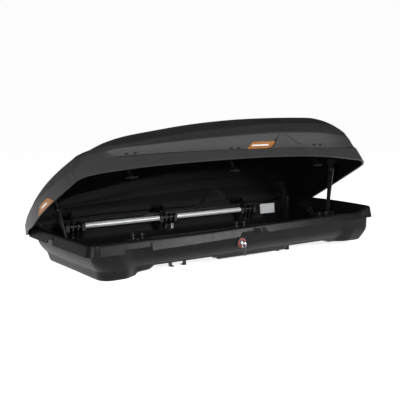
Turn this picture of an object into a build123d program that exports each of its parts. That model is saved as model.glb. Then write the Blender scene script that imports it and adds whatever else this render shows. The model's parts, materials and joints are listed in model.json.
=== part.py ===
from build123d import *
import math
import os

os.makedirs("parts", exist_ok=True)

# Side-opening roof cargo box, lid propped open on the near side.
# Millimetres. X runs from the nose (-X) to the tail (+X), the near side is -Y, +Z is up.
# The origin is on the plane that the box stands on, at mid length and mid width.

# ---- Driving dimensions -------------------------------------------------------------------
RIM = 192.0                 # height of the tray's rim deck
WALL = 3.0                  # sheet thickness of tray and lid
FLOOR_UNDER = 45.0          # underside of the tray floor
FLOOR = FLOOR_UNDER + WALL  # top of the tray floor
SKIRT_DEPTH = 52.0          # the rim flange hangs this far down
LID_ANGLE = 27.5            # how far the lid is open

HINGE = (356.0, RIM - 34.0)      # y, z of the hook pins, also the lid's hinge line on the far side
ROTOR = (324.0, RIM - 20.0)      # y, z of the latch shafts
FAR_STATIONS = (-696.0, -88.0, 520.0)
NEAR_STATIONS = (-640.0, -12.0, 588.0)
LATCH_TURN = 105.0               # from locked to unlocked

PIN_R = 5.0
SHAFT_R = 8.0
FIT = 0.05                       # radial running clearance
TUBE_R = 15.0

# Plan outlines: height, front x, rear x, half width, side bow, front bow, rear bow, corner radius.
TUB = (
    (RIM, -900, 902, 384, 10, 22, 12, 75),
    (RIM - 87, -885, 893, 377, 9, 18, 10, 80),
    (FLOOR_UNDER, -848, 868, 330, 6, 12, 8, 80),
)
SKIRT = (-925, 915, 418, 28, 36, 16, 90)
LID = (
    (RIM - 58, -1000, 928, 446, 18, 62, 18, 85),
    (RIM + 38, -972, 928, 426, 18, 60, 18, 85),
    (RIM + 90, -952, 930, 410, 17, 58, 20, 90),
    (RIM + 130, -864, 918, 406, 17, 54, 22, 100),
    (RIM + 175, -757, 902, 398, 16, 50, 26, 120),
    (RIM + 208, -562, 884, 388, 16, 48, 30, 130),
    (RIM + 244, -320, 850, 374, 15, 44, 34, 140),
    (RIM + 266, -40, 793, 362, 14, 40, 36, 140),
    (RIM + 281, 240, 725, 315, 12, 36, 38, 130),
)
LID_EDGE_MID = RIM - 8           # the lid's lower edge arches up to here at mid length
LID_END = 1010.0                 # past both ends of the lid


# ---- Helpers ------------------------------------------------------------------------------
def slab(x0, x1, y0, y1, z0, z1):
    """Box between two corners."""
    centre = Pos((x0 + x1) / 2, (y0 + y1) / 2, (z0 + z1) / 2)
    return centre * Box(x1 - x0, y1 - y0, z1 - z0)


def rod_x(x0, x1, y, z, radius):
    return Pos((x0 + x1) / 2, y, z) * Rot(0, 90, 0) * Cylinder(radius, x1 - x0)


def rod_y(y0, y1, x, z, radius):
    return Pos(x, (y0 + y1) / 2, z) * Rot(90, 0, 0) * Cylinder(radius, y1 - y0)


def rod_z(z0, z1, x, y, radius):
    return Pos(x, y, (z0 + z1) / 2) * Cylinder(radius, z1 - z0)


def plate_yz(points, x0, x1):
    """Polygon of (y, z) points, from x0 to x1."""
    return extrude(Plane.YZ.offset(x0) * Polygon(*points, align=None), x1 - x0, dir=(1, 0, 0))


def plate_xz(points, y0, y1):
    """Polygon of (x, z) points, from y0 to y1."""
    return extrude(Plane.XZ.offset(-y1) * Polygon(*points, align=None), y1 - y0, dir=(0, -1, 0))


def outline(front, rear, half, side_bow, front_bow, rear_bow, radius, z=0.0, inset=0.0):
    """Rounded plan outline with four outward-bowed sides, as a face at height z."""
    front, rear, half = front + inset, rear - inset, half - inset
    x0, x1, y = front + front_bow, rear - rear_bow, half - side_bow
    middle = (front + rear) / 2
    sides = [
        ThreePointArc((x0, -y), (middle, -half), (x1, -y)),
        ThreePointArc((x1, -y), (rear, 0), (x1, y)),
        ThreePointArc((x1, y), (middle, half), (x0, y)),
        ThreePointArc((x0, y), (front, 0), (x0, -y)),
    ]
    face = Face(Wire(sides))
    return Pos(0, 0, z) * face.fillet_2d(radius - inset, face.vertices())


def lofted(levels, inset=0.0, drop=0.0):
    """Solid through plan outlines, each moved in by inset and down by drop."""
    wires = [outline(*level[1:], level[0] - drop, inset).outer_wire() for level in levels]
    return Solid.make_loft(wires, ruled=True)


def prism(shape, z0, z1, inset=0.0):
    return extrude(outline(*shape, z0, inset), z1 - z0, dir=(0, 0, 1))


def drafted(x0, x1, half, grow, z0, z1, radius, inset=0.0):
    """Bulge of the tray floor: a rounded block that widens upward by grow on each side."""
    low = Pos((x0 + x1) / 2, 0, z0) * RectangleRounded(x1 - x0 - 2 * inset, 2 * (half - inset), radius)
    wide = (x1 - x0 + 2 * grow - 2 * inset, 2 * (half + grow - inset))
    high = Pos((x0 + x1) / 2, 0, z1) * RectangleRounded(*wide, radius + grow / 2)
    return Solid.make_loft([low.face().outer_wire(), high.face().outer_wire()], ruled=True)


def bowed_half(level, x):
    """Half width of a plan outline at x, on its bowed side."""
    z, front, rear, half, side_bow, *rest = level
    reach = (rear - front) / 2
    return half - side_bow * ((x - (front + rear) / 2) / reach) ** 2


def between(low, high, x, z):
    """Half width between two plan outlines at height z."""
    share = (z - low[0]) / (high[0] - low[0])
    return bowed_half(low, x) * (1 - share) + bowed_half(high, x) * share


def opened(shape):
    """From the closed pose to the open rest pose: a turn about the far hinge line."""
    return shape.rotate(Axis((0, *HINGE), (1, 0, 0)), -LID_ANGLE)


def turned(point, angle, centre=HINGE):
    """(y, z) point turned about a centre by an angle in degrees, +Y towards +Z."""
    a = math.radians(angle)
    y, z = point[0] - centre[0], point[1] - centre[1]
    return (
        centre[0] + y * math.cos(a) - z * math.sin(a),
        centre[1] + y * math.sin(a) + z * math.cos(a),
    )


def near(shape):
    """The same piece on the near side."""
    return Compound([solid.mirror(Plane.XZ) for solid in shape.solids()])


def save(name, *shapes):
    solids = [solid for shape in shapes for solid in shape.solids()]
    export_step(solids[0] if len(solids) == 1 else Compound(solids), f"parts/{name}.step")


# ---- Base tray ----------------------------------------------------------------------------
# Deep nose belly, shallow centre pad and tail bulge, each with the moulded boss it stands on.
BULGES = (
    # x0, x1, half width, growth, bottom, corner radius
    (-795, -655, 270, 46, 0, 40),
    (-140, 280, 290, 20, 22, 30),
    (640, 800, 285, 34, 15, 35),
)
BOSSES = (
    # x0, x1, y0, y1, top
    (-60, 200, -150, 150, 22),
    (660, 780, 120, 230, 15),
    (660, 780, -230, -120, 15),
)
NOTCHES = (-660.0, 4.0, 636.0)          # shallower stretches of the skirt's lower edge
NOTCH_TOP = RIM - 30
SLOT_CENTRES = ((-300, -230), (-300, 230), (410, -230), (410, 230))
SLOT_LENGTH, SLOT_R = 200.0, 5.0
LOCK_X, LOCK_Z = -50.0, RIM - 82.0
BARREL_R = 14.0
COAMING = 32.0                          # the rim steps up this far round the tail

tub_outer = lofted(TUB)
tub_inner = lofted(((RIM + 1, *TUB[0][1:]), TUB[1], (FLOOR, *TUB[2][1:])), inset=WALL)
for x0, x1, half, grow, bottom, radius in BULGES:
    tub_outer += drafted(x0, x1, half, grow, bottom, FLOOR_UNDER + 2, radius)
    tub_inner += drafted(x0, x1, half, grow, bottom + WALL, FLOOR + 2, radius - 2, inset=WALL)

skirt = prism(SKIRT, RIM - SKIRT_DEPTH, RIM) - prism(SKIRT, RIM - SKIRT_DEPTH - 1, RIM - WALL, WALL)
for x in NOTCHES:
    notch = ((x - 74, 100), (x - 74, RIM - SKIRT_DEPTH), (x - 62, NOTCH_TOP), (x + 62, NOTCH_TOP),
             (x + 74, RIM - SKIRT_DEPTH), (x + 74, 100))
    skirt -= plate_xz(notch, -500, 500)
coaming_side = ((840, RIM - 1), (905, RIM + COAMING), (925, RIM + COAMING), (925, RIM - 1))
coaming = prism((-915, 909, 412, 28, 23, 16, 88), RIM, RIM + COAMING) & plate_xz(coaming_side, -500, 500)

tray = tub_outer + skirt + coaming
tray -= tub_inner
tray -= prism(TUB[0][1:], RIM, RIM + COAMING + 1, WALL)
for x0, x1, y0, y1, top in BOSSES:
    tray += slab(x0, x1, y0, y1, 0, top + 1) - slab(x0 + 3, x1 - 3, y0 + 3, y1 - 3, WALL, top)
for x, y in SLOT_CENTRES:
    tray -= Pos(x, y, FLOOR) * extrude(SlotOverall(SLOT_LENGTH, 2 * SLOT_R), 20, both=True)
for side in (-1, 1):
    tray -= rod_y(min(side * 340, side * 400), max(side * 340, side * 400), LOCK_X, LOCK_Z, BARREL_R)
save("base_tray", tray)

# ---- Floor fittings -----------------------------------------------------------------------
RAIL_Y = 185.0
rail = [slab(-560, 600, y - 12, y + 12, FLOOR, FLOOR + 3) + slab(-560, 600, y - 5, y + 5, FLOOR, FLOOR + 12)
        for y in (-RAIL_Y, RAIL_Y)]
save("floor_rails", *rail)
MAT_HALF, MAT_THICK = 165.0, 3.0
pad_floor = BULGES[1][4] + WALL
mats = [slab(x0, x1, -MAT_HALF, MAT_HALF, z, z + MAT_THICK)
        for x0, x1, z in ((-560, -170, FLOOR), (-125, 265, pad_floor), (310, 570, FLOOR))]
save("floor_mats", *mats)

# ---- Latch stations -----------------------------------------------------------------------
CHEEK = (12.0, 20.0)          # inner cheeks, that carry pin saddle and shaft
CLAW = (22.0, 28.0)
BLOCK = (38.0, 59.0)          # outer bearing blocks
HOUSING_LOW = RIM - 92
HOUSING_TOP = RIM - 3
HOUSING_SHELF = RIM - 51      # top of the web that joins the blocks below the claws
POCKET = 26.0                 # half width of the space left round the lock
CLAW_OUT, CLAW_SLOT_OUT, CLAW_SLOT_IN, CLAW_IN, HUB_R = 45.0, 40.5, 29.5, 25.0, 14.0


def housing(x, saddle_r):
    """Latch housing at station x on the far wall, fitted to the tray's inside."""
    py, pz = HINGE
    ty, tz = ROTOR
    wall = py + 40
    body = slab(x - BLOCK[1], x + BLOCK[1], py - 8, wall, HOUSING_LOW, HOUSING_SHELF)
    block = ((wall, HOUSING_LOW), (ty + 14, HOUSING_LOW), (ty - 18, tz - 24), (ty - 18, HOUSING_TOP - 5),
             (ty - 12, HOUSING_TOP), (wall, HOUSING_TOP))
    cheek = ((wall, HOUSING_LOW), (ty + 14, HOUSING_LOW), (ty - 14, tz - 20), (ty - 14, tz + 12),
             (ty - 8, HOUSING_TOP - 2), (py + 9, HOUSING_TOP - 2), (py + 9, HOUSING_SHELF), (wall, HOUSING_SHELF))
    for side in (-1, 1):
        body += plate_yz(block, *sorted((x + side * BLOCK[0], x + side * BLOCK[1])))
        body += plate_yz(cheek, *sorted((x + side * CHEEK[0], x + side * CHEEK[1])))
    body -= rod_x(x - 60, x + 60, ty, tz, SHAFT_R + FIT)
    body -= rod_x(x - 30, x + 30, py, pz, saddle_r)
    body -= slab(x - 30, x + 30, py - saddle_r, py + saddle_r, pz, RIM)
    body -= slab(LOCK_X - POCKET, LOCK_X + POCKET, 290, wall, HOUSING_LOW, LOCK_Z + POCKET - 2)
    return body & tub_inner


def sector(radius, start, end):
    """Flat pie slice about the origin, angles in degrees."""
    first, middle, last = [
        (radius * math.cos(math.radians(a)), radius * math.sin(math.radians(a)))
        for a in (start, (start + end) / 2, end)
    ]
    return make_face([Line((0, 0), first), ThreePointArc(first, middle, last), Line(last, (0, 0))])


def claw(x0, x1, turn):
    """Claw on the far shaft that wraps the hook pin, turned by an angle from locked."""
    flat = sector(CLAW_OUT, -40, 20)
    flat -= sector(CLAW_SLOT_OUT, -41, -10) - sector(CLAW_SLOT_IN, -42, -9)
    flat -= sector(CLAW_IN, -41, -10)
    flat += Circle(HUB_R)
    flat -= Circle(SHAFT_R)
    return extrude(Plane.YZ.offset(x0) * Pos(*ROTOR) * Rot(0, 0, turn) * flat, x1 - x0, dir=(1, 0, 0))


def tube(x0, x1):
    """Grooved aluminium tube round the shaft, between two stations."""
    body = rod_x(x0, x1, *ROTOR, TUBE_R)
    ty, tz = ROTOR
    for side in (-1, 1):
        body -= slab(x0, x1, *sorted((ty + side * (TUBE_R - 2), ty + side * 20)), tz - 1.6, tz + 1.6)
        body -= slab(x0, x1, ty - 1.6, ty + 1.6, *sorted((tz + side * (TUBE_R - 2), tz + side * 20)))
    return body - rod_x(x0, x1, ty, tz, SHAFT_R)


def latch_row(stations, saddle_r, turn):
    """Housings, claws, shaft and tubes of one side, drawn on the far side."""
    housings = [housing(x, saddle_r) for x in stations]
    claws = []
    for x in stations:
        for side in (-1, 1):
            claws.append(claw(*sorted((x + side * CLAW[0], x + side * CLAW[1])), turn))
    shaft = rod_x(stations[0] - BLOCK[1] - 4, stations[-1] + BLOCK[1] + 4, *ROTOR, SHAFT_R)
    tubes = [tube(a + BLOCK[1] + 1, b - BLOCK[1] - 1) for a, b in zip(stations, stations[1:])]
    return housings, claws, shaft, tubes


housings, claws, shaft, tubes = latch_row(FAR_STATIONS, PIN_R + FIT, 0)
save("latch_housings_far", *housings)
save("latch_claws_far", *claws)
save("latch_shaft_far", shaft)
save("latch_tubes_far", *tubes)
housings, claws, shaft, tubes = latch_row(NEAR_STATIONS, PIN_R + 0.7, LATCH_TURN)
save("latch_housings_near", *[near(s) for s in housings])
save("latch_claws_near", *[near(s) for s in claws])
save("latch_shaft_near", near(shaft))
save("latch_tubes_near", *[near(s) for s in tubes])

# ---- Lid ----------------------------------------------------------------------------------
lid_outer = lofted(LID)
lid_inner = lofted(LID, inset=WALL, drop=WALL)
end_z = LID[0][0] - 3
arch = Face(Wire([
    ThreePointArc((-LID_END, end_z), (0, LID_EDGE_MID), (LID_END, end_z)),
    Line((LID_END, end_z), (LID_END, 60)),
    Line((LID_END, 60), (-LID_END, 60)),
    Line((-LID_END, 60), (-LID_END, end_z)),
]))
lid_closed = lid_outer - lid_inner - extrude(Plane.XZ.offset(-500) * arch, 1000)
save("lid_shell", opened(lid_closed))

# ---- Lid hooks ----------------------------------------------------------------------------
HOOK_HALF = 6.0
HOOK_PIN_HALF = 33.0
HOOK_SHELF = (RIM + 37, RIM + 50)      # where the hook's arm runs out to the lid wall
SCREW_DX = 24.0
SCREW_Z = RIM + 72.0
SCREW_PROUD = 4.0


def hook(x):
    """Goose-neck hook of the lid at station x on the far side, closed pose."""
    py, pz = HINGE
    wall = between(LID[1], LID[2], x, SCREW_Z) - WALL
    low, high = HOOK_SHELF
    arm = ((py - 9, pz - 2), (py + 2, pz - 9), (py + 9, pz + 2), (py - 5, pz + 28), (py - 5, low), (wall + 20, low),
           (wall + 20, high), (py - 12, high), (py - 19, high - 8), (py - 19, pz + 22))
    body = plate_yz(arm, x - HOOK_HALF, x + HOOK_HALF)
    body += slab(x - 36, x + 36, wall - 6, wall + 20, low, SCREW_Z + 13)
    body -= rod_x(x - HOOK_HALF, x + HOOK_HALF, py, pz, PIN_R)
    return body & lid_inner


def hook_screws(x):
    """Pair of button-head screws through the lid wall into the hook."""
    wall = between(LID[1], LID[2], x, SCREW_Z)
    screws = []
    for side in (-1, 1):
        at = x + side * SCREW_DX
        head = rod_y(wall - 6, wall + SCREW_PROUD, at, SCREW_Z, 6.5) - lid_outer
        screws.append(head)
    return screws


for side_name, stations in (("far", FAR_STATIONS), ("near", NEAR_STATIONS)):
    hooks = [hook(x) for x in stations]
    pins = [rod_x(x - HOOK_PIN_HALF, x + HOOK_PIN_HALF, *HINGE, PIN_R) for x in stations]
    screws = [screw for x in stations for screw in hook_screws(x)]
    if side_name == "near":
        hooks, pins, screws = [[near(s) for s in group] for group in (hooks, pins, screws)]
    save(f"lid_hooks_{side_name}", *[opened(s) for s in hooks])
    save(f"hook_pins_{side_name}", *[opened(s) for s in pins])
    save(f"hook_screws_{side_name}", *[opened(s) for s in screws])

# ---- Badges -------------------------------------------------------------------------------
badge_outline = ((59, RIM + 59), (117, RIM + 106), (281, RIM + 106), (218, RIM + 59))
lid_proud = lofted(LID, inset=-2.0)
side_badge = (plate_xz(badge_outline, 400, 500) & lid_proud) - lid_outer
save("side_badge_far", opened(side_badge))
save("side_badge_near", opened(near(side_badge)))
front_outline = ((-112, RIM - 44), (-96, RIM - 14), (-20, RIM + 12), (20, RIM + 12), (96, RIM - 14),
                 (112, RIM - 44))
front_badge = (plate_yz(front_outline, -1040, -880) & lid_proud) - lid_outer
save("front_badge", opened(front_badge))

# ---- Lid lifters --------------------------------------------------------------------------
# Each arm hangs from the lid and its foot pin runs in a curved track on the end wall.
ARM_THICK = 6.0
ARM_TOP_R, ARM_FOOT_R = 22.0, 10.0
PIVOT_R, FOOT_R = 6.0, 4.0
TRACK_GAP = 0.6                 # clearance of the foot pin in its track


def bearing(start, end):
    return math.degrees(math.atan2(end[1] - start[1], end[0] - start[0]))


class Lifter:
    """Geometry of one lid lifter in its plane, from its pivot on the lid and its foot's ends of travel."""

    def __init__(self, pivot_closed, foot_open, foot_side, end):
        self.end = end                          # +1 at the tail, -1 at the nose
        self.pivot_closed = pivot_closed
        self.pivot_open = turned(pivot_closed, -LID_ANGLE)
        self.foot_open = foot_open
        self.length = math.dist(self.pivot_open, foot_open)
        drop = pivot_closed[1] - foot_open[1]
        reach = foot_side * math.sqrt(self.length ** 2 - drop ** 2)
        self.foot_closed = (pivot_closed[0] + reach, foot_open[1])
        start = bearing(self.pivot_open, foot_open)
        finish = bearing(pivot_closed, self.foot_closed)
        swing = (finish - start + 180) % 360 - 180
        self.turn = swing - LID_ANGLE           # arm's turn on the lid while the lid closes
        self.start = start
        self.swing = swing

    def foot(self, share):
        """Foot pin when the lid has closed by this share of its travel."""
        pivot = turned(self.pivot_closed, -LID_ANGLE * (1 - share))
        angle = math.radians(self.start + self.swing * share)
        return (pivot[0] + self.length * math.cos(angle), pivot[1] + self.length * math.sin(angle))

    def x_span(self, first, last):
        """Distances from the arm's inner face, out towards the end wall."""
        inner = 860.0 if self.end > 0 else -852.0
        return sorted((inner + self.end * first, inner + self.end * last))

    def arm(self):
        ends = ((self.pivot_open, ARM_TOP_R), (self.foot_open, ARM_FOOT_R))
        along = math.radians(self.start)
        normal = (-math.sin(along), math.cos(along))
        corners = []
        for (y, z), radius in ends:
            corners.append([(y + s * radius * normal[0], z + s * radius * normal[1]) for s in (-1, 1)])
        outline_points = (corners[0][0], corners[0][1], corners[1][1], corners[1][0])
        body = plate_yz(outline_points, *self.x_span(0, ARM_THICK))
        for (y, z), radius in ends:
            body += rod_x(*self.x_span(0, ARM_THICK), y, z, radius)
        body -= rod_x(*self.x_span(-1, ARM_THICK + 1), *self.pivot_open, PIVOT_R + FIT)
        return body - rod_x(*self.x_span(-1, ARM_THICK + 1), *self.foot_open, FOOT_R)

    def foot_pin(self):
        shank = rod_x(*self.x_span(0, 21), *self.foot_open, FOOT_R)
        return shank + rod_x(*self.x_span(-3, 0), *self.foot_open, 7)

    def path(self, offset, count=28):
        """Points beside the foot's path, offset to its left, from open to closed."""
        points = []
        for step in range(count + 1):
            share = step / count
            before, after = self.foot(max(share - 0.01, 0)), self.foot(min(share + 0.01, 1))
            a = math.radians(bearing(before, after))
            y, z = self.foot(share)
            points.append((y - offset * math.sin(a), z + offset * math.cos(a)))
        return points

    def band(self, half, first, last):
        """Plate that follows the foot's path, half as wide on each side."""
        body = plate_yz(self.path(half) + self.path(-half)[::-1], *self.x_span(first, last))
        for share in (0, 1):
            body += rod_x(*self.x_span(first, last), *self.foot(share), half)
        return body

    def track(self):
        body = self.band(15, 12, 18)
        ends = sorted((self.foot_open[0], self.foot_closed[0]))
        for y0, y1 in ((ends[0] - 34, ends[0] - 10), (ends[1] + 10, ends[1] + 34)):
            z = self.foot_open[1]
            body += slab(*self.x_span(12, 70), y0, y1, z - 12, z + 12)
        body -= self.band(FOOT_R + TRACK_GAP, 11, 24)
        return body & tub_inner

    def bracket(self):
        """Lid bracket that reaches in over the rim, closed pose."""
        y, z = self.pivot_closed
        plate = slab(*self.x_span(8, 14), y - 17, y + 17, z, RIM + 70) + rod_x(*self.x_span(8, 14), y, z, 17)
        shelf = slab(*self.x_span(8, 130), y - 17, y + 17, RIM + 46, RIM + 70)
        body = plate + shelf - rod_x(*self.x_span(8, 14), y, z, PIVOT_R)
        return body & lid_inner

    def pivot_pin(self):
        shank = rod_x(*self.x_span(-2, 14), *self.pivot_closed, PIVOT_R)
        return shank + rod_x(*self.x_span(-5, -2), *self.pivot_closed, 10)


rear_lifter = Lifter((-177.0, RIM + 2), (-67.0, RIM - 34), 1, 1)
front_lifter = Lifter((121.0, RIM - 1), (70.0, RIM - 46), -1, -1)
for name, lifter in (("rear", rear_lifter), ("front", front_lifter)):
    save(f"lifter_arm_{name}", lifter.arm())
    save(f"lifter_foot_pin_{name}", lifter.foot_pin())
    save(f"lifter_track_{name}", lifter.track())
    save(f"lifter_bracket_{name}", opened(lifter.bracket()))
    save(f"lifter_pivot_pin_{name}", opened(lifter.pivot_pin()))
    ratio = lifter.turn / LID_ANGLE
    low = min(lifter.foot(s / 20)[1] for s in range(21))
    print(f"{name} lifter: arm {lifter.length:.1f}, turn {lifter.turn:.3f} deg, ratio {ratio:.5f}, "
          f"pivot {lifter.pivot_open}, foot closed {lifter.foot_closed}, lowest {low:.1f}")

# ---- Locks and key ------------------------------------------------------------------------
PLUG_R = 8.0
LOCK_FACE = 386.0           # y of the lock's outer face


def lock(side):
    """Barrel, rosette, red ring, plug and cam of the lock on one side."""
    def placed(shape):
        return near(shape) if side < 0 else shape

    barrel = rod_y(344, LOCK_FACE, LOCK_X, LOCK_Z, BARREL_R) - rod_y(340, 400, LOCK_X, LOCK_Z, PLUG_R + FIT)
    rosette = rod_y(350, LOCK_FACE, LOCK_X, LOCK_Z, 28) - tub_outer - rod_y(340, 400, LOCK_X, LOCK_Z, BARREL_R)
    ring = rod_y(LOCK_FACE, LOCK_FACE + 2, LOCK_X, LOCK_Z, 24) - rod_y(380, 400, LOCK_X, LOCK_Z, 17.5)
    ring -= slab(LOCK_X, LOCK_X + 40, 380, 400, LOCK_Z - 40, LOCK_Z)
    plug = rod_y(338, LOCK_FACE + 1, LOCK_X, LOCK_Z, PLUG_R)
    cam = rod_y(334, 338, LOCK_X, LOCK_Z, 11) + slab(LOCK_X - 6, LOCK_X + 6, 334, 338, LOCK_Z, LOCK_Z + 21)
    nut = rod_y(354, 361, LOCK_X, LOCK_Z, 17) - rod_y(340, 400, LOCK_X, LOCK_Z, BARREL_R)
    return [placed(shape) for shape in (barrel, rosette, ring, plug, cam, nut)]


for side_name, side in (("near", -1), ("far", 1)):
    barrel, rosette, ring, plug, cam, nut = lock(side)
    save(f"lock_barrel_{side_name}", barrel)
    save(f"lock_rosette_{side_name}", rosette)
    save(f"lock_ring_{side_name}", ring)
    save(f"lock_plug_{side_name}", plug)
    save(f"lock_cam_{side_name}", cam)
    save(f"lock_nut_{side_name}", nut)

KEY_HOLE_Y = -(LOCK_FACE + 1 + 20)
RING_R, RING_WIRE = 12.0, 1.0
key_face = -(LOCK_FACE + 1)
key = slab(LOCK_X - 1.25, LOCK_X + 1.25, key_face - 8, key_face, LOCK_Z - 4, LOCK_Z + 4)
key += rod_x(LOCK_X - 1.25, LOCK_X + 1.25, KEY_HOLE_Y + 2, LOCK_Z, 12)
key -= rod_x(LOCK_X - 2, LOCK_X + 2, KEY_HOLE_Y, LOCK_Z, 4)
save("key", key)
ring_plane = Pos(LOCK_X, KEY_HOLE_Y, LOCK_Z - RING_R) * Rot(90, 0, 0)
save("key_ring", ring_plane * Torus(RING_R, RING_WIRE))
fob_top = LOCK_Z - 2 * RING_R
fob = rod_x(LOCK_X - 2, LOCK_X + 2, KEY_HOLE_Y, fob_top, 6)
fob += slab(LOCK_X - 2, LOCK_X + 2, KEY_HOLE_Y - 10, KEY_HOLE_Y + 10, fob_top - 42, fob_top - 4)
fob -= rod_x(LOCK_X - 3, LOCK_X + 3, KEY_HOLE_Y, fob_top, RING_WIRE + 0.8)
save("key_fob", fob)

# ---- Rating plate -------------------------------------------------------------------------
plate_back = lofted(((RIM + 1, *TUB[0][1:]), TUB[1], (FLOOR, *TUB[2][1:])), inset=WALL + 1.0)
rating = (slab(666, 786, 340, 420, RIM - 70, RIM - 6) & tub_inner) - plate_back
save("rating_plate", rating)

# ---- Crossbar clamps ----------------------------------------------------------------------
CLAMP_OFFSET = -60.0        # clamps stand off the middle of their slots
SPINDLE_R = 4.0
JAW_TOP = 38.0
BAR_HALF = 41.0             # half the width of the widest crossbar
clamp_names = ("front_near", "front_far", "rear_near", "rear_far")
plates = []
for name, (x, y) in zip(clamp_names, SLOT_CENTRES):
    x += CLAMP_OFFSET
    plate = slab(x - 42, x + 42, y - 26, y + 26, FLOOR, FLOOR + 6)
    plates.append(plate - rod_z(FLOOR, FLOOR + 6, x, y, SPINDLE_R + FIT))
    knob = rod_z(FLOOR + 7, FLOOR + 27, x, y, 20)
    knob += slab(x - 34, x + 34, y - 8, y + 8, FLOOR + 11, FLOOR + 33)
    knob -= rod_z(FLOOR + 7, FLOOR + 17, x, y, SPINDLE_R)
    save(f"clamp_knob_{name}", knob)
    save(f"clamp_spindle_{name}", rod_z(JAW_TOP - 8, FLOOR + 17, x, y, SPINDLE_R))
    jaw = slab(x - BAR_HALF - 5, x + BAR_HALF + 5, y - 15, y + 15, 1, JAW_TOP)
    jaw -= slab(x - BAR_HALF, x + BAR_HALF, y - 20, y + 20, 5, JAW_TOP - 6)
    jaw -= slab(x - BAR_HALF + 14, x + BAR_HALF - 14, y - 20, y + 20, 0, 6)
    jaw -= rod_z(0, 60, x, y, SPINDLE_R + FIT)
    save(f"clamp_jaw_{name}", jaw)
save("clamp_plates", *plates)
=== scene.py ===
"""Looks for the side-opening roof cargo box: skins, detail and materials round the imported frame."""
import json
import math

import bmesh
import bpy
import numpy as np
from mathutils import Matrix, Vector

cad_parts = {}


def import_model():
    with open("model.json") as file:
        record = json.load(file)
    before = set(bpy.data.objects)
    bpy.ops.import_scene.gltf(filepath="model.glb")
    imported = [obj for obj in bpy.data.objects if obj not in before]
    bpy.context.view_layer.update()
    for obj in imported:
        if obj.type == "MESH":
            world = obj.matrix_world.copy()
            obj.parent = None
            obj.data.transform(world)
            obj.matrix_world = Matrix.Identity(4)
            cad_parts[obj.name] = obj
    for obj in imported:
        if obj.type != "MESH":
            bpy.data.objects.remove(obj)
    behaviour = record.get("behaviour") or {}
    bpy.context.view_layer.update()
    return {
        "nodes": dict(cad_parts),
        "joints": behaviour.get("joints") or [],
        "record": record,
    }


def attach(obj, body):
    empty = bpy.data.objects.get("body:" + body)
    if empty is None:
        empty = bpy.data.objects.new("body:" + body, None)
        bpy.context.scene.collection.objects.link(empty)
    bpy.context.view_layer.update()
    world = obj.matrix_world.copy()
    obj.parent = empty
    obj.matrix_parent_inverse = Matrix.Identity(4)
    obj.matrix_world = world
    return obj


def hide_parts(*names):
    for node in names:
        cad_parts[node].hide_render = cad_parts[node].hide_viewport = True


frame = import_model()
nodes = frame["nodes"]

MM = 0.001
RIM = 192.0                 # height of the rim deck, mm
WALL = 3.0                  # sheet thickness
SHARP_ANGLE = 40.0          # edges above this angle stay sharp, degrees
LID_HINGE = next(joint for joint in frame["joints"] if joint["name"] == "lid_hinge")
LID_ANGLE = math.radians(LID_HINGE["range_deg"][1])
HINGE_Y, HINGE_Z = (value / MM for value in LID_HINGE["pos_m"][1:])


# ---- Small numeric helpers ----------------------------------------------------------------
def smooth(t):
    """0 below 0, 1 above 1, smooth between."""
    t = np.clip(t, 0.0, 1.0)
    return t * t * (3 - 2 * t)


def curve(points, x):
    """Smooth curve through a few (x, value) points, monotone between them."""
    xs = np.array([p[0] for p in points], float)
    ys = np.array([p[1] for p in points], float)
    h = np.diff(xs)
    slope = np.diff(ys) / h
    m = np.zeros(len(xs))
    for i in range(1, len(xs) - 1):
        if slope[i - 1] * slope[i] > 0:
            w0, w1 = 2 * h[i] + h[i - 1], h[i] + 2 * h[i - 1]
            m[i] = (w0 + w1) / (w0 / slope[i - 1] + w1 / slope[i])
    m[0], m[-1] = slope[0], slope[-1]
    x = np.clip(np.asarray(x, float), xs[0], xs[-1])
    k = np.clip(np.searchsorted(xs, x, side="right") - 1, 0, len(xs) - 2)
    t = (x - xs[k]) / h[k]
    a = (1 + 2 * t) * (1 - t) ** 2
    b = t * (1 - t) ** 2
    c = t * t * (3 - 2 * t)
    d = t * t * (t - 1)
    return a * ys[k] + b * h[k] * m[k] + c * ys[k + 1] + d * h[k] * m[k + 1]


def open_lid(points):
    """Closed-pose points (mm) turned to the open rest pose about the far hinge line."""
    p = np.array(points, float)
    y, z = p[:, 1] - HINGE_Y, p[:, 2] - HINGE_Z
    c, s = math.cos(LID_ANGLE), math.sin(LID_ANGLE)
    p[:, 1] = HINGE_Y + y * c + z * s
    p[:, 2] = HINGE_Z - y * s + z * c
    return p


# ---- Mesh helpers -------------------------------------------------------------------------
def piece(name, verts, faces, body, material, shade=None, painted_lightness=None):
    """A mesh object from points in mm, riding on a body.

    Of its two values per point, each 0 to 1, the first paints shade into its grooves and the second paints light and
    shade over its surface.
    """
    mesh = bpy.data.meshes.new(name)
    mesh.from_pydata([tuple(float(c) * MM for c in v) for v in verts], [], [tuple(f) for f in faces])
    for label, values in (("shade", shade), ("painted_lightness", painted_lightness)):
        if values is not None:
            attribute = mesh.attributes.new(label, "FLOAT", "POINT")
            attribute.data.foreach_set("value", np.asarray(values, np.float32))
    mesh.validate()
    obj = bpy.data.objects.new(name, mesh)
    bpy.context.scene.collection.objects.link(obj)
    mesh.materials.append(material)
    finish_mesh(obj)
    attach(obj, body)
    return obj


def finish_mesh(obj):
    """Outward normals, smooth faces and sharp edges where the surface turns sharply."""
    bm = bmesh.new()
    bm.from_mesh(obj.data)
    bmesh.ops.remove_doubles(bm, verts=bm.verts, dist=1e-6)
    bmesh.ops.recalc_face_normals(bm, faces=bm.faces)
    limit = math.radians(SHARP_ANGLE)
    for edge in bm.edges:
        edge.smooth = len(edge.link_faces) == 2 and edge.calc_face_angle(0) < limit
    for face in bm.faces:
        face.smooth = True
    bm.to_mesh(obj.data)
    bm.free()


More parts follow.
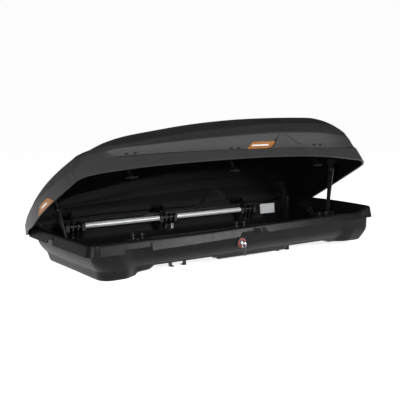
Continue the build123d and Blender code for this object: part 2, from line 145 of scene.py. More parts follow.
def grid_faces(rows, columns):
    """Quads of a rows by columns grid of points that closes along its columns."""
    faces = []
    for i in range(rows - 1):
        for j in range(columns):
            k = (j + 1) % columns
            faces.append((i * columns + j, i * columns + k, (i + 1) * columns + k, (i + 1) * columns + j))
    return faces


# ---- Plan outlines ------------------------------------------------------------------------
SIDE_CELLS, END_CELLS, CORNER_CELLS = 340, 72, 12
CELLS = (SIDE_CELLS, CORNER_CELLS, END_CELLS, CORNER_CELLS)
NEAR_SIDE, REAR_END, FAR_SIDE, FRONT_END = 0, 2, 4, 6
PART = np.repeat(np.arange(8), CELLS * 2)
SHARE = np.concatenate([np.arange(n) / n for n in CELLS * 2])
TO_REAR = np.select([PART == NEAR_SIDE, PART <= 3, PART == FAR_SIDE], [SHARE, 1.0, 1 - SHARE], 0.0)


def graded(at_front, at_rear):
    """One value per column, running from the front end's to the rear end's along the sides."""
    return at_front + (at_rear - at_front) * TO_REAR


def plan(front, rear, half, side_bow, front_bow, rear_bow, radius):
    """Points (x, y) of a bowed and rounded outline, one for each column.

    Each value is a number, or an array with one number per column.
    """
    values = (front, rear, half, side_bow, front_bow, rear_bow, radius)
    front, rear, half, side_bow, front_bow, rear_bow, radius = [
        np.broadcast_to(np.asarray(v, float), PART.shape) for v in values]
    x0, x1, y = front + front_bow, rear - rear_bow, half - side_bow
    middle, reach = (front + rear) / 2, (x1 - x0) / 2

    def side_y(x):
        return half - side_bow * ((x - middle) / reach) ** 2

    def end_x(out, yy):
        edge, bow = (x1, rear_bow) if out > 0 else (x0, front_bow)
        return edge + out * bow * (1 - (yy / y) ** 2)

    xs, ys = np.zeros(len(PART)), np.zeros(len(PART))
    for part, sign in ((NEAR_SIDE, -1), (FAR_SIDE, 1)):
        t = SHARE if sign < 0 else 1 - SHARE
        x = x0 + radius + (x1 - x0 - 2 * radius) * t
        here = PART == part
        xs[here], ys[here] = x[here], (sign * side_y(x))[here]
    for part, out in ((REAR_END, 1), (FRONT_END, -1)):
        t = SHARE if out > 0 else 1 - SHARE
        yy = (y - radius) * (2 * t - 1)
        here = PART == part
        xs[here], ys[here] = end_x(out, yy)[here], yy[here]
    turn = SHARE * math.pi / 2
    for part, out, sign in ((1, 1, -1), (3, 1, 1), (5, -1, 1), (7, -1, -1)):
        from_side = part in (1, 5)
        along = np.sin(turn) if from_side else np.cos(turn)
        across = np.cos(turn) if from_side else np.sin(turn)
        in_x = (x1 if out > 0 else x0) - out * radius
        in_y = y - radius
        x = in_x + (end_x(out, in_y) - in_x) * along
        yy = sign * (in_y + (side_y(in_x) - in_y) * across)
        here = PART == part
        xs[here], ys[here] = x[here], yy[here]
    return xs, ys


def level_values(levels, z):
    """The eight values of a table of levels, at heights z over the rim."""
    return [curve([(level[0], level[i]) for level in levels], z) for i in range(1, 9)]


def grid_normals(grid):
    """Unit normals, out of the box, of a rows x columns x 3 grid that is closed along its columns."""
    across = np.roll(grid, -1, axis=1) - np.roll(grid, 1, axis=1)
    up = np.gradient(grid, axis=0)
    n = np.cross(across, up)
    return n / np.maximum(np.linalg.norm(n, axis=2, keepdims=True), 1e-9)


# ---- Lid shell ----------------------------------------------------------------------------
LID_LEVELS = (
    # height over the rim, front, rear, half width, side bow, front bow, rear bow, front and rear corner radius
    (-70, -1008, 945, 448, 18, 58, 16, 48, 76),
    (18, -1006, 944, 430, 18, 58, 16, 48, 76),
    (50, -986, 942, 422, 18, 58, 16, 52, 76),
    (90, -952, 938, 410, 17, 56, 16, 66, 74),
    (132, -866, 931, 406, 17, 54, 18, 90, 80),
    (181, -747, 915, 398, 16, 50, 22, 120, 92),
    (215, -564, 896, 388, 16, 48, 26, 130, 100),
    (251, -322, 858, 376, 15, 44, 32, 140, 120),
    (275, -40, 800, 364, 14, 40, 36, 140, 130),
    (288, 180, 742, 332, 12, 36, 38, 130, 125),
    (293, 300, 694, 272, 10, 30, 30, 110, 110),
)
LID_EDGE = ((-1003, -60), (-985, -58), (-940, -45), (-791, -30), (-573, -15), (-280, -6), (130, -1), (395, -6),
            (623, -20), (818, -46), (930, -62))
BAND_TOP = ((-1000, 34), (-860, 42), (-725, 48), (-249, 55), (198, 50), (494, 45), (806, 32), (860, 38), (930, 42))
FACET = ((-1000, 66), (-900, 76), (-772, 92), (-715, 104), (-518, 118), (-213, 139), (122, 155), (340, 163),
         (600, 158), (800, 138), (880, 112), (930, 104))
CREASE = ((-1000, 90), (-930, 94), (-838, 110), (-731, 122), (-560, 142), (-379, 166), (-188, 188), (-20, 201),
          (155, 216), (340, 226), (454, 227), (691, 220), (807, 197), (871, 160), (930, 140))
RECESS_FRONT = ((48, -723), (68, -756), (92, -790))      # slanted ends of the recessed panels: height, x
RECESS_REAR = ((50, 198), (71, 245), (101, 286), (150, 342))
SECOND_FRONT = ((48, 514), (57, 486), (84, 451), (117, 411), (150, 380))
GROOVE_SHADE_BLACK_SHARE = 0.40          # painted shade: share of a groove's width that shows black
FAR_NOSE_LIFT = 20.0         # the lower edge is higher at the nose on the far side
RECESS_DEPTH, BAND_PROUD = 1.5, 10.0     # the panels sink a little, the band round them stands out
GROOVE_DEPTH, GROOVE_IN, GROOVE_HALF = 1.2, 10.0, 6.0
CREASE_RIDGE, FACET_RIDGE = (3.0, 13.0), (1.6, 8.0)      # height and falloff of the raised edge lines
SHOULDER_SINK, SHOULDER_WIDTH = 1.5, 46.0                # shallow hollow over the crease
BAND_PAINTED_LIGHT, PANEL_PAINTED_LIGHT, FACET_PAINTED_LIGHT, CROWN_PAINTED_LIGHT = 0.42, 0.5, 0.24, 0.08    # painted light and shade of the band, the panel, the facet zone and the crown; the panel's adds to the band's
CROWN_X, CROWN_Z = 480.0, RIM + 299.0                    # where the crown closes
CROWN_RINGS = 10


def lid_plan(z):
    """Plan points at heights z (one per column) over the rim."""
    values = level_values(LID_LEVELS, z)
    return plan(*values[:6], graded(*values[6:]))


def lid_rows():
    """Heights of the grid rows over the rim, one array per row with a value per column."""
    x, y = lid_plan(np.zeros(len(PART)))
    edge, band, facet, crease = [curve(line, x) for line in (LID_EDGE, BAND_TOP, FACET, CREASE)]
    edge = edge + FAR_NOSE_LIFT * smooth((y - 150) / 150) * smooth((-880 - x) / 60)
    top = np.full(len(PART), float(LID_LEVELS[-1][0]))
    stops = ((edge, band, 9), (band, band + 13, 9), (band + 13, facet, 11), (facet, crease, 9), (crease, top, 30))
    rows = []
    for low, high, count in stops:
        rows += [low + (high - low) * i / count for i in range(count)]
    return rows + [top]


def recess_depth(x, z):
    """How far the side panels stand back from the band, and how much a point lies in a groove."""
    band, facet = curve(BAND_TOP, x), curve(FACET, x)
    above = z - band
    fade = np.clip(1 - above / np.maximum(facet - band, 20), 0, 1)
    first = np.minimum(x - curve(RECESS_FRONT, z), curve(RECESS_REAR, z) - x)
    second = x - curve(SECOND_FRONT, z)
    inside = np.minimum(np.maximum(first, second), 1.3 * above)
    groove = np.exp(-((inside - GROOVE_IN) / GROOVE_HALF) ** 2) * fade ** 0.4
    sunk = smooth(inside / 5)
    along = smooth((x + 945) / 110) * smooth((935 - x) / 90)
    groove = groove * along
    return (RECESS_DEPTH * sunk - BAND_PROUD * (1 - sunk) * along) * fade + GROOVE_DEPTH * groove, groove


def lid_surface():
    """Outer surface of the closed lid as a rows x columns grid in mm, with its groove weights and the light and shade
    painted over it.
    """
    grid = []
    for z in lid_rows():
        x, y = lid_plan(z)
        grid.append(np.stack([x, y, z + RIM], axis=1))
    grid = np.array(grid)
    normals = grid_normals(grid)
    x, z = grid[:, :, 0], grid[:, :, 2] - RIM
    depth, groove = recess_depth(x, z)
    band, facet, crease = curve(BAND_TOP, x), curve(FACET, x), curve(CREASE, x)
    ridge = sum(height * np.exp(-np.abs(z - line) / falloff)
                for line, (height, falloff) in ((crease, CREASE_RIDGE), (facet, FACET_RIDGE)))
    low = SHOULDER_SINK * smooth((z - crease) / 10) * smooth((crease + SHOULDER_WIDTH - z) / 24)
    over_facet, over_crease = smooth((z - facet + 6) / 12), smooth((z - crease + 3) / 8)
    on_panel = smooth((z - band - 4) / 6) * smooth((x + 800) / 60) * smooth((900 - x) / 300)
    # painted light and shade: the panel lightest, the band darker, the zone from the facet to the crease darker
    # still, the shoulder and crown darkest
    painted_lightness = (BAND_PAINTED_LIGHT + PANEL_PAINTED_LIGHT * on_panel) * (1 - over_facet)
    painted_lightness += FACET_PAINTED_LIGHT * over_facet * (1 - over_crease) + CROWN_PAINTED_LIGHT * over_crease
    return grid - normals * (depth - ridge + low)[:, :, None], groove, painted_lightness


def lid_skin(material, inner):
    """The lid as one sheet: a lip turned in at the lower edge, the moulded sides and the crown."""
    surface, groove, painted_lightness = lid_surface()
    outward = grid_normals(surface)[0]
    lip = [surface[0] - outward * inward + np.array([0, 0, rise])
           for inward, rise in ((13, 4), (11, 1.0), (4, -1.5), (1, -1.0))]
    top = surface[-1]
    crown = np.array([CROWN_X, 0.0, CROWN_Z])
    cap = []
    for i in range(1, CROWN_RINGS + 1):
        share = i / (CROWN_RINGS + 0.5)
        ring = top * (1 - share) + crown * share
        ring[:, 2] = top[:, 2] + (CROWN_Z - top[:, 2]) * (1 - (1 - share) ** 2)
        cap.append(ring)
    full = np.concatenate([np.array(lip), surface, np.array(cap)])
    rows, columns = full.shape[:2]
    faces = grid_faces(rows, columns)
    faces.append(tuple(range((rows - 1) * columns, rows * columns)))
    on_lip, on_cap = np.ones((len(lip), columns)), np.ones((len(cap), columns))
    # painted shade in the grooves; the lip is painted as light as the band and the cap as dark as the crown
    shade = np.concatenate([0 * on_lip, groove, 0 * on_cap])
    painted_lightness = np.concatenate([BAND_PAINTED_LIGHT * on_lip, painted_lightness, CROWN_PAINTED_LIGHT * on_cap])
    verts = open_lid(full.reshape(-1, 3))
    obj = piece("lid_skin", verts, faces, "lid", material, shade=shade.ravel(), painted_lightness=painted_lightness.ravel())
    mark_groove_shade_faces(obj.data)
    thicken(obj, inner)
    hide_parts("lid_shell")


def mark_groove_shade_faces(mesh):
    """Second material on the faces at the bottom of the grooves: the black inside sheet as painted shade."""
    values = np.empty(len(mesh.vertices), np.float32)
    mesh.attributes["shade"].data.foreach_get("value", values)
    for polygon in mesh.polygons:
        if np.mean(values[list(polygon.vertices)]) > GROOVE_SHADE_BLACK_SHARE:
            polygon.material_index = 1


def mark_inside(mesh):
    """Second material on the faces of the tub's inside; its outer wall keeps the first."""
    points = np.empty(len(mesh.vertices) * 3)
    mesh.vertices.foreach_get("co", points)
    points = points.reshape(-1, 3) / MM
    inside = {int(i) for i in np.nonzero(points[:, 2] < RIM - 2)[0]}
    for polygon in mesh.polygons:
        x, y, z = polygon.center / MM
        nx, ny, nz = polygon.normal
        faces_in = (nx * x < 0 or ny * y < 0) and nz < 0.8
        polygon.material_index = int(faces_in and z < RIM - 2.5 and all(v in inside for v in polygon.vertices))


def thicken(obj, inner=None):
    """Gives an open surface its wall on the inside, applied to the mesh.

    The inside takes the material inner. With none, the faces marked as inside get the first material behind them.
    """
    modifier = obj.modifiers.new("wall", "SOLIDIFY")
    if inner is not None:
        obj.data.materials.append(inner)
    modifier.material_offset = 1 if inner is not None else -1
    modifier.thickness = WALL * MM
    modifier.offset = -1
    modifier.use_even_offset = False
    graph = bpy.context.evaluated_depsgraph_get()
    mesh = bpy.data.meshes.new_from_object(obj.evaluated_get(graph))
    obj.modifiers.clear()
    obj.data = mesh
    finish_mesh(obj)


# ---- Tray ---------------------------------------------------------------------------------
SKIRT_LOW = ((-936, -57), (-905, -52), (-777, -53), (-592, -51), (-336, -47), (-97, -40), (62, -34), (331, -30),
             (549, -31), (676, -28), (908, -27), (926, -34))
SKIRT_NOTCHES = ((-765, -610, 19), (-90, 58, 20), (549, 676, 12))     # from x, to x, height
FRONT_NOTCH = (30, 112, 25)                                        # from y, to y, height
RIM_RISE = ((-936, 0), (-335, 1), (-84, 5), (331, 9), (604, 10), (770, 6), (812, 7), (858, 22), (892, 33),
            (926, 35))
TUB_LEVELS = (
    # height over the rim, front, rear, half width, side bow, front bow, rear bow, front and rear corner radius
    (-147, -868, 899, 330, 6, 8, 6, 64, 50),
    (-87, -906, 914, 374, 9, 8, 8, 58, 46),
    (0, -920, 918, 381, 10, 8, 8, 56, 46),
)
NOSE_SWELL, TAIL_SWELL = (24, 26, 44), (12, 20, 36)      # how much wider the tub is at its ends: rim, crease, floor
FLARE, REAR_FLARE = 13.0, 5.0                            # how far the skirt's lower edge stands out
FULL_SKIRT = 55.0                                        # a skirt less deep than this flares less
BELLY = ((-900, 42), (-660, 42), (-640, 29), (-576, 22), (-545, 0))   # x, depth of the nose belly under the floor
TAIL_FOOT = ((606, 0), (645, 18), (900, 20))
PAD = (-150.0, 300.0, 312.0, 14.0, 21.0)                             # x0, x1, half width, growth, depth
PAD_SINK = PAD[4] + WALL                                              # the same pad on the floor's upper side
RIBS = ((238, 4.0, 9, 5), (282, 3.0, 7, 4))                           # y, height, half width, run-out
FLOOR_IN = -144.0                                                     # floor top over the rim
SPINE = (-560, 600)                                                   # x of the floor's middle line


DECK = (
    # share of the way from the rim's crest to the tub, drop under the crest, painted shade in the channel
    (0.0, 6.5, 1.0), (0.3, 7.0, 1.0), (0.34, 3.0, 0.6), (0.4, 1.0, 0.0), (0.62, 0.0, 0.0),
    (0.7, 1.5, 0.0), (0.84, 1.5, 0.0), (0.94, 2.0, 0.0), (1.0, 4.5, 0.0),
)
FLOOR_INSETS = (2, 5, 9, 14, 20, 26, 34, 40, 46, 51, 56, 64, 74, 80, 84, 88, 92, 96, 100, 108, 124, 150, 180, 215,
                250, 285)                                # grid rows on the floor, closest where it has ribs and pads


def skirt_plan(inset):
    """Outline of the skirt, moved in by inset."""
    radius = graded(46.0, 44.0) - 0.7 * inset
    return plan(-935 + inset, 932 - inset, 417 - inset, graded(8.0, 20.0), 3, 8, radius)


def tub_plan(z):
    """Outline of the tub at height z over the rim, wider at its nose and tail."""
    values = level_values(TUB_LEVELS, z)
    heights = (0, -87, -147)
    nose, tail = [curve(list(zip(heights, swell))[::-1], z) for swell in (NOSE_SWELL, TAIL_SWELL)]
    rough_x = -900 + 1800 * TO_REAR
    swell = nose * smooth((-730 - rough_x) / 110) + tail * smooth((rough_x - 715) / 110)
    return plan(*values[:2], values[2] + swell, *values[3:6], graded(*values[6:]))


def skirt_low(x, y):
    """Height of the skirt's lower edge over the rim at points of its outline."""
    low = curve(SKIRT_LOW, x)
    on_side = smooth((np.abs(y) - 340) / 30)
    for start, end, height in SKIRT_NOTCHES:
        low = low + height * on_side * smooth((x - start) / 14) * smooth((end - x) / 14)
    start, end, height = FRONT_NOTCH
    return low + height * smooth((-915 - x) / 8) * smooth((y - start) / 12) * smooth((end - y) / 12)


def rim_height(x, y):
    """Height of the rim's crest over the rim datum."""
    return curve(RIM_RISE, x) + 8 * smooth((x - 890) / 20) * (1 - (y / 410) ** 2)


def floor_height(x, y, inset):
    """Top of the floor over the rim, with nose belly, centre pad, tail foot and ribs.

    inset is the distance from the floor's edge.
    """
    near_edge = smooth(inset / 20)
    depth = (curve(BELLY, x) + curve(TAIL_FOOT, x)) * near_edge
    x0, x1, half, grow, _ = PAD
    inside = np.minimum(np.minimum(x - x0 + grow, x1 + grow - x), half + grow - np.abs(y))
    depth = depth + PAD_SINK * np.clip(inside / grow, 0, 1)
    rib = sum(height * smooth((wide - np.abs(np.abs(y) - rib_y)) / run) for rib_y, height, wide, run in RIBS)
    return FLOOR_IN - depth + rib * smooth((x + 560) / 20) * smooth((600 - x) / 20) * near_edge


def tray_surface():
    """Skirt, rim and tub as one grid, from the skirt's lower edge over the rim to the floor's middle."""
    rows, shade = [], []

    def add(x, y, z, dark=0.0):
        rows.append(np.stack([x, y, z + RIM], axis=1))
        shade.append(np.full(len(x), dark))

    x, y = skirt_plan(0)
    low, crest = skirt_low(x, y), rim_height(x, y)
    flare = np.where(PART == REAR_END, REAR_FLARE, FLARE)
    for part, from_end in ((REAR_END - 1, 1 - SHARE), (REAR_END + 1, SHARE)):
        flare = np.where(PART == part, REAR_FLARE + (FLARE - REAR_FLARE) * from_end, flare)
    flare = flare * np.clip((crest - low) / FULL_SKIRT, 0, 1)
    for inward, rise in ((7.0, 3.0), (2.5, 0.0), (0.0, 0.4)):
        xs, ys = skirt_plan(inward - flare)
        add(xs, ys, low + rise)
    for i in range(1, 6):
        xs, ys = skirt_plan(-flare * (1 - i / 5))
        add(xs, ys, low + (crest - 5 - low) * i / 5)
    for inset, drop in ((0.8, 3.6), (2.6, 1.4), (5.5, 0.2), (8.0, 0.0), (9.4, 0.8), (10.2, 3.5)):
        xs, ys = skirt_plan(inset)
        add(xs, ys, crest - drop)
    outer_x, outer_y = skirt_plan(10.6)
    tub_edge_x, tub_edge_y = tub_plan(0.0)
    # the deck's last column paints shade into the channel round the rim
    for share, drop, dark in DECK:
        xs, ys = outer_x + (tub_edge_x - outer_x) * share, outer_y + (tub_edge_y - outer_y) * share
        add(xs, ys, crest - drop, dark)
    for z in (-10, -24, -40, -56, -72, -84, -87, -90, -105, -120, -132):
        xs, ys = tub_plan(float(z))
        add(xs, ys, np.full(len(xs), float(z)) + crest * smooth((z + 60) / 60))
    edge_x, edge_y = tub_plan(FLOOR_IN + 2.0)
    add(edge_x, edge_y, np.full(len(edge_x), FLOOR_IN + 5))
    spine = np.clip(edge_x, *SPINE)
    reach = np.hypot(edge_x - spine, edge_y)
    for inset in FLOOR_INSETS:
        share = np.minimum(inset / reach, 0.96)
        xs, ys = edge_x + (spine - edge_x) * share, edge_y * (1 - share)
        add(xs, ys, floor_height(xs, ys, inset))
    ys = edge_y * 0.02
    add(spine, ys, floor_height(spine, ys, 300.0))
    return np.array(rows), np.array(shade)


def tray_skin(material, inner):
    """The tray as one sheet, with its own material inside the tub."""
    grid, shade = tray_surface()
    rows, columns = grid.shape[:2]
    faces = grid_faces(rows, columns)
    # the floor's middle closes with quads across the spine and one face at each end
    last = (rows - 1) * columns
    far_first = last + int(np.argmax(PART == FAR_SIDE))
    for j in range(SIDE_CELLS):
        across = far_first + SIDE_CELLS - j
        faces.append((last + j, last + j + 1, across - 1, across))
    count = END_CELLS + 2 * CORNER_CELLS
    for start in (last + SIDE_CELLS, far_first + SIDE_CELLS):
        faces.append([last + (start - last + k) % columns for k in range(count + 1)])
    obj = piece("tray_skin", grid.reshape(-1, 3), faces, "box", material, shade=shade.ravel())
    obj.data.materials.append(inner)
    mark_inside(obj.data)
    thicken(obj)
    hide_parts("base_tray")


# ---- Badges -------------------------------------------------------------------------------
ROUND_STEPS, STRAIGHT_STEPS = 6, 12     # points on each rounded corner and straight side
INLAY_LIFT = 0.6
BADGE_RIM = ((0.0, -1.0), (0.0, 1.2), (1.2, 2.2), (3.0, 2.4), (3.8, 1.9))    # mm in from the outline, mm proud
BADGE_FIELD = (0.35, 0.6, 0.8)                                               # rings, as shares of the way in
FIELD_PROUD = 1.9


def on_side(side):
    """Maps (x, height over the rim, proud) to the closed lid's near or far side panel."""
    def place(x, z, proud):
        front, rear, half, bow, front_bow = level_values(LID_LEVELS, z)[:5]
        y = half - bow * ((x - (front + rear) / 2) / ((rear - front) / 2 - front_bow)) ** 2
        depth, _ = recess_depth(x, z)
        return np.stack([x, side * (y - depth + proud), z + RIM], axis=-1)
    return place


def on_front(y, z, proud):
    """Maps (y, height over the rim, proud) to the closed lid's nose."""
    front, _, half, side_bow, bow = level_values(LID_LEVELS, z)[:5]
    return np.stack([front + bow * (y / (half - side_bow)) ** 2 - proud, y, z + RIM], axis=-1)


def rounded(corners, radius):
    """Outline of a polygon with its corners rounded, as an array of (u, v)."""
    corners = np.array(corners, float)
    points = []
    for i, corner in enumerate(corners):
        following = corners[(i + 1) % len(corners)]
        before, after = corners[i - 1] - corner, following - corner
        along = after / np.linalg.norm(after)
        start = corner + before / np.linalg.norm(before) * radius
        end = corner + along * radius
        for t in np.arange(ROUND_STEPS + 1) / ROUND_STEPS:
            points.append(start * (1 - t) ** 2 + corner * 2 * t * (1 - t) + end * t * t)
        for t in np.arange(1, STRAIGHT_STEPS) / STRAIGHT_STEPS:
            points.append(end + (following - along * radius - end) * t)
    return np.array(points)


def badge(name, corners, radius, place, material, replaced=None, lift=0.0):
    """Thin plate with a rounded shoulder and a shallow sunk field, laid on the lid's surface."""
    outline = rounded(corners, radius)
    centre = outline.mean(axis=0)
    size = np.linalg.norm(outline - centre, axis=1, keepdims=True)
    rings = [(inset / size, proud) for inset, proud in BADGE_RIM] + [(share, FIELD_PROUD) for share in BADGE_FIELD]
    verts = []
    for share, proud in rings:
        verts += [place(u, v, proud + lift) for u, v in centre + (outline - centre) * (1 - share)]
    verts.append(place(*centre, FIELD_PROUD + lift))
    columns = len(outline)
    faces = grid_faces(len(rings), columns)
    last = (len(rings) - 1) * columns
    faces += [(last + k, last + (k + 1) % columns, last + columns) for k in range(columns)]
    obj = piece(name, open_lid(verts), faces, "lid", material)
    if replaced:
        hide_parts(replaced)


SIDE_BADGE = ((62, 62), (124, 108), (288, 108), (232, 62))
SIDE_INLAY = ((106, 80), (114, 90), (232, 90), (222, 80))
FRONT_BADGE = ((-136, -21), (-190, -60), (22, -60), (-28, -21))
FRONT_INLAY = ((-112, -37), (-122, -46), (-44, -46), (-52, -37))


def badges():
    """A bronze plate with a plain pale inlay on each side and on the nose."""
    bronze, pale = MATERIALS["bronze"], MATERIALS["plate"]
    for name, side in (("near", -1), ("far", 1)):
        badge(f"side_badge_plate_{name}", SIDE_BADGE, 14, on_side(side), bronze, f"side_badge_{name}")
        badge(f"side_badge_inlay_{name}", SIDE_INLAY, 4, on_side(side), pale, lift=INLAY_LIFT)
    badge("front_badge_plate", FRONT_BADGE, 12, on_front, bronze, "front_badge")
    badge("front_badge_inlay", FRONT_INLAY, 4, on_front, pale, lift=INLAY_LIFT)


# ---- Materials ----------------------------------------------------------------------------
CLOUD, CLOUD_RANGE = (7.0, 4.0), (0.35, 0.65)            # a soft cloud's scale and detail, and the part used
TONE_CLOUD = 0.03
# painted shade: the colour that grooves are darkened towards
GROOVE_PAINTED_SHADE_COLOR = (0.001, 0.001, 0.001)


def new_material(name, color, roughness, metallic=0.0, specular=0.5):
    """A Principled material, its node tree and its shader."""
    material = bpy.data.materials.new(name)
    material.use_nodes = True
    shader = material.node_tree.nodes["Principled BSDF"]
    shader.inputs["Base Color"].default_value = (*color, 1)
    shader.inputs["Roughness"].default_value = roughness
    shader.inputs["Metallic"].default_value = metallic
    shader.inputs["Specular IOR Level"].default_value = specular
    return material, material.node_tree, shader


def noise(tree, scale, detail=3.0, rough=0.5, stretch=None):
    """Noise texture in object space (metres); stretch scales the axes."""
    coordinate = tree.nodes.new("ShaderNodeTexCoord")
    mapping = tree.nodes.new("ShaderNodeMapping")
    if stretch:
        mapping.inputs["Scale"].default_value = stretch
    texture = tree.nodes.new("ShaderNodeTexNoise")
    texture.inputs["Scale"].default_value = scale
    texture.inputs["Detail"].default_value = detail
    texture.inputs["Roughness"].default_value = rough
    tree.links.new(coordinate.outputs["Object"], mapping.inputs["Vector"])
    tree.links.new(mapping.outputs["Vector"], texture.inputs["Vector"])
    return texture.outputs["Fac"]


def ramp(tree, fac, low, high, start=0.0, end=1.0):
    """Maps a 0..1 signal to a range of numbers."""
    node = tree.nodes.new("ShaderNodeMapRange")
    node.inputs["From Min"].default_value = start
    node.inputs["From Max"].default_value = end
    node.inputs["To Min"].default_value = low
    node.inputs["To Max"].default_value = high
    tree.links.new(fac, node.inputs["Value"])
    return node.outputs["Result"]


def tint(tree, shader, fac, dark, light):
    """Base colour between two colours by a signal."""
    mix = tree.nodes.new("ShaderNodeMix")
    mix.data_type = "RGBA"
    mix.inputs["A"].default_value = (*dark, 1)
    mix.inputs["B"].default_value = (*light, 1)
    tree.links.new(fac, mix.inputs["Factor"])
    tree.links.new(mix.outputs["Result"], shader.inputs["Base Color"])


def bump(tree, shader, height, strength, distance):
    """Fine relief from a height signal; distance is in metres."""
    node = tree.nodes.new("ShaderNodeBump")
    node.inputs["Strength"].default_value = strength
    node.inputs["Distance"].default_value = distance
    tree.links.new(height, node.inputs["Height"])
    tree.links.new(node.outputs["Normal"], shader.inputs["Normal"])


def point_value(tree, label):
    """A value that a piece's points carry."""
    attribute = tree.nodes.new("ShaderNodeAttribute")
    attribute.attribute_name = label
    return attribute.outputs["Fac"]


def painted_light_signal(tree):
    """A piece's painted light and shade with a faint random cloud, as a signal between its painted shade colour and
    its painted light colour.
    """
    add = tree.nodes.new("ShaderNodeMath")
    add.operation = "ADD"
    tree.links.new(point_value(tree, "painted_lightness"), add.inputs[0])
    tree.links.new(ramp(tree, noise(tree, *CLOUD), -TONE_CLOUD, TONE_CLOUD, *CLOUD_RANGE), add.inputs[1])
    return add.outputs["Value"]


def paint_groove_shade(tree, shader):
    """Paints shade into the base colour where a piece's shade value says there is a groove."""
    mix = tree.nodes.new("ShaderNodeMix")
    mix.data_type = "RGBA"
    mix.inputs["B"].default_value = (*GROOVE_PAINTED_SHADE_COLOR, 1)
    link = shader.inputs["Base Color"].links[0]
    tree.links.new(ramp(tree, point_value(tree, "shade"), 0.0, 1.0, 0.1, 0.8), mix.inputs["Factor"])
    tree.links.new(link.from_socket, mix.inputs["A"])
    tree.links.new(mix.outputs["Result"], shader.inputs["Base Color"])


def plastic(name, dark, light, roughness, grain_scale, grain, specular=0.5, by_painted_light=False, grooves=False):
    """Moulded or sheet plastic with a fine grain, faint cloudiness and varied gloss.

    It can take its colour from the light and shade painted on the piece's points, and paint shade into its grooves.
    """
    material, tree, shader = new_material(name, dark, roughness, specular=specular)
    signal = painted_light_signal(tree) if by_painted_light else ramp(tree, noise(tree, *CLOUD), 0.0, 1.0, *CLOUD_RANGE)
    tint(tree, shader, signal, dark, light)
    if grooves:
        paint_groove_shade(tree, shader)
    gloss = ramp(tree, noise(tree, 23.0, 5.0, 0.6), roughness - 0.05, roughness + 0.07)
    tree.links.new(gloss, shader.inputs["Roughness"])
    bump(tree, shader, noise(tree, grain_scale, 2.0, 0.4), grain, 0.0004)
    return material


def metal(name, color, roughness, stretch, brush=0.12, metallic=1.0):
    """Metal with fine brushing along one direction and light handling marks."""
    material, tree, shader = new_material(name, color, roughness, metallic=metallic)
    lines = noise(tree, 260.0, 2.0, 0.5, stretch)
    tree.links.new(ramp(tree, lines, roughness - 0.07, roughness + 0.1), shader.inputs["Roughness"])
    darker = tuple(c * 0.82 for c in color)
    tint(tree, shader, noise(tree, 40.0, 4.0, 0.6), darker, color)
    bump(tree, shader, lines, brush, 0.00015)
    return material


MATERIALS = {
    # the lid's two colours are its painted shade and its painted light, picked by the light and shade painted on its
    # points; its grooves get painted shade
    "lid": plastic("lid_sheet", (0.002, 0.002, 0.002), (0.046, 0.046, 0.047), 0.40, 900.0, 0.3, specular=0.2,
                   by_painted_light=True, grooves=True),
    # the tray gets painted shade in the channel round its rim
    "tray": plastic("tray_sheet", (0.003, 0.003, 0.0032), (0.0045, 0.0045, 0.0047), 0.33, 700.0, 0.2,
                    specular=0.10, grooves=True),
    "inside": plastic("inner_sheet", (0.002, 0.002, 0.002), (0.003, 0.003, 0.003), 0.55, 500.0, 0.3, specular=0.08),
    "casting": plastic("moulded_black", (0.006, 0.006, 0.006), (0.009, 0.009, 0.009), 0.42, 800.0, 0.4, specular=0.4),
    "black_steel": plastic("powder_coat", (0.007, 0.007, 0.008), (0.010, 0.010, 0.011), 0.38, 1400.0, 0.5),
    "mat": plastic("rubber_mat", (0.006, 0.006, 0.006), (0.011, 0.011, 0.011), 0.62, 500.0, 0.5, specular=0.3),
    "fob": plastic("fob_rubber", (0.02, 0.02, 0.021), (0.03, 0.03, 0.031), 0.5, 900.0, 0.4),
    "bronze": plastic("bronze_badge", (0.20, 0.080, 0.022), (0.24, 0.098, 0.028), 0.40, 500.0, 0.1, specular=0.3),
    "red": plastic("red_ring", (0.16, 0.012, 0.008), (0.22, 0.018, 0.011), 0.4, 600.0, 0.1),
    "plate": plastic("silver_plate", (0.44, 0.45, 0.46), (0.52, 0.53, 0.54), 0.38, 600.0, 0.1),
    "steel": metal("zinc_steel", (0.50, 0.50, 0.51), 0.30, (0.05, 1.0, 1.0)),
    "aluminium": metal("anodised_tube", (0.58, 0.59, 0.60), 0.38, (0.02, 1.0, 1.0), metallic=0.25),
    "chrome": metal("polished_chrome", (0.78, 0.78, 0.80), 0.14, (1.0, 1.0, 1.0), 0.05),
}
# painted shade: the near latch tubes take the dark powder coat in place of their aluminium; the other nodes listed
# take it in place of their slots' materials
DARK_NODES = ("latch_tubes_near",) + tuple(
    f"{part}_{side}" for part in ("hook_screws", "latch_shaft", "lock_rosette", "lock_barrel")
    for side in ("near", "far"))
# painted shade: the hooks and their pins under the lid take the black inside sheet in place of their slot's material
BLACK_NODES = tuple(f"{part}_{side}" for part in ("hook_pins", "lid_hooks") for side in ("near", "far"))


def dress_nodes():
    """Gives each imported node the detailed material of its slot, or a darker one where the photo shows it."""
    for entry in frame["record"]["subparts"]:
        name, slot = entry["node"], entry["material_slot"]
        if name in DARK_NODES:
            slot = "black_steel"
        elif name in BLACK_NODES:
            slot = "inside"
        for material_slot in nodes[name].material_slots:
            material_slot.material = MATERIALS[slot]


dress_nodes()
lid_skin(MATERIALS["lid"], MATERIALS["inside"])
tray_skin(MATERIALS["tray"], MATERIALS["inside"])
badges()


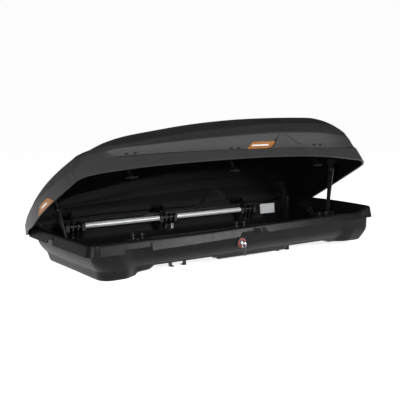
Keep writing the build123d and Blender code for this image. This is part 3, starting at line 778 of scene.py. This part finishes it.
# ---- Floor, light and camera --------------------------------------------------------------
FLOOR_REACH, FLOOR_GLOW, FLOOR_DROP = 60.0, 0.85, 0.002
AIR_SEEN, AIR_LIGHT = 0.98, 0.16     # strength of the backdrop as seen, and as a light
LIGHTS = (
    # name, place, aim, size, watts
    ("top_soft", (0.2, 0.4, 3.8), (0, 0, 0.3), (3.6, 2.4), 8),
    ("key_soft", (-1.2, -3.5, 2.5), (-0.1, 0.0, 0.3), (1.8, 1.2), 92),
    ("rim_soft", (1.55, -3.25, 1.1), (-0.4, -0.42, 0.17), (1.3, 0.6), 105),
    ("left_strip", (-3.9, -2.25, 0.7), (-0.9, -0.4, 0.2), (0.4, 1.2), 75),
    ("left_high_strip", (-3.9, -1.6, 2.1), (-0.9, -0.3, 0.3), (0.5, 0.9), 45),
)
CAMERA_PLACE = (-2.2768, -3.3908, 0.7855)
YAW, PITCH, ROLL = 0.5789, 0.1181, -0.015     # radians, from looking along +Y
SENSOR, LENS = 36.0, 64.07


def floor():
    """Pale studio floor that glows a little, so that it stays as pale far out as near by."""
    material, _, shader = new_material("pale_floor", (0.80, 0.80, 0.80), 0.75, specular=0.2)
    shader.inputs["Emission Color"].default_value = (1, 1, 1, 1)
    shader.inputs["Emission Strength"].default_value = FLOOR_GLOW
    mesh = bpy.data.meshes.new("floor")
    corners = [(x * FLOOR_REACH, y * FLOOR_REACH, 0) for x, y in ((-1, -1), (1, -1), (1, 1), (-1, 1))]
    mesh.from_pydata(corners, [], [(0, 1, 2, 3)])
    mesh.materials.append(material)
    obj = bpy.data.objects.new("floor", mesh)
    bpy.context.scene.collection.objects.link(obj)
    obj.location.z = -FLOOR_DROP


def area_light(name, location, target, size, power):
    """A soft rectangular light at a place, aimed at a target, that the camera doesn't see."""
    data = bpy.data.lights.new(name, "AREA")
    data.shape = "RECTANGLE"
    data.size, data.size_y = size
    data.energy = power
    obj = bpy.data.objects.new(name, data)
    obj.location = location
    obj.rotation_euler = (Vector(target) - Vector(location)).to_track_quat("-Z", "Y").to_euler()
    obj.visible_camera = False
    bpy.context.scene.collection.objects.link(obj)


def camera():
    """The photograph's camera, turned by yaw, pitch and roll."""
    ahead = Vector((math.sin(YAW) * math.cos(PITCH), math.cos(YAW) * math.cos(PITCH), -math.sin(PITCH)))
    level_right = Vector((math.cos(YAW), -math.sin(YAW), 0))
    level_up = level_right.cross(ahead)
    right = level_right * math.cos(ROLL) + level_up * math.sin(ROLL)
    up = -level_right * math.sin(ROLL) + level_up * math.cos(ROLL)
    data = bpy.data.cameras.new("camera")
    data.sensor_width, data.lens = SENSOR, LENS
    obj = bpy.data.objects.new("camera", data)
    matrix = Matrix((right, up, -ahead)).transposed().to_4x4()
    matrix.translation = CAMERA_PLACE
    obj.matrix_world = matrix
    bpy.context.scene.collection.objects.link(obj)
    bpy.context.scene.camera = obj


def world():
    """Studio air: a pale backdrop to look at, dim and even as a light."""
    data = bpy.data.worlds.new("studio")
    data.use_nodes = True
    tree = data.node_tree
    seen = tree.nodes.new("ShaderNodeLightPath").outputs["Is Camera Ray"]
    tree.links.new(ramp(tree, seen, AIR_LIGHT, AIR_SEEN), tree.nodes["Background"].inputs["Strength"])
    tree.nodes["Background"].inputs["Color"].default_value = (1, 1, 1, 1)
    bpy.context.scene.world = data


floor()
for light in LIGHTS:
    area_light(*light)
world()
camera()
bpy.context.scene.view_settings.view_transform = "Standard"
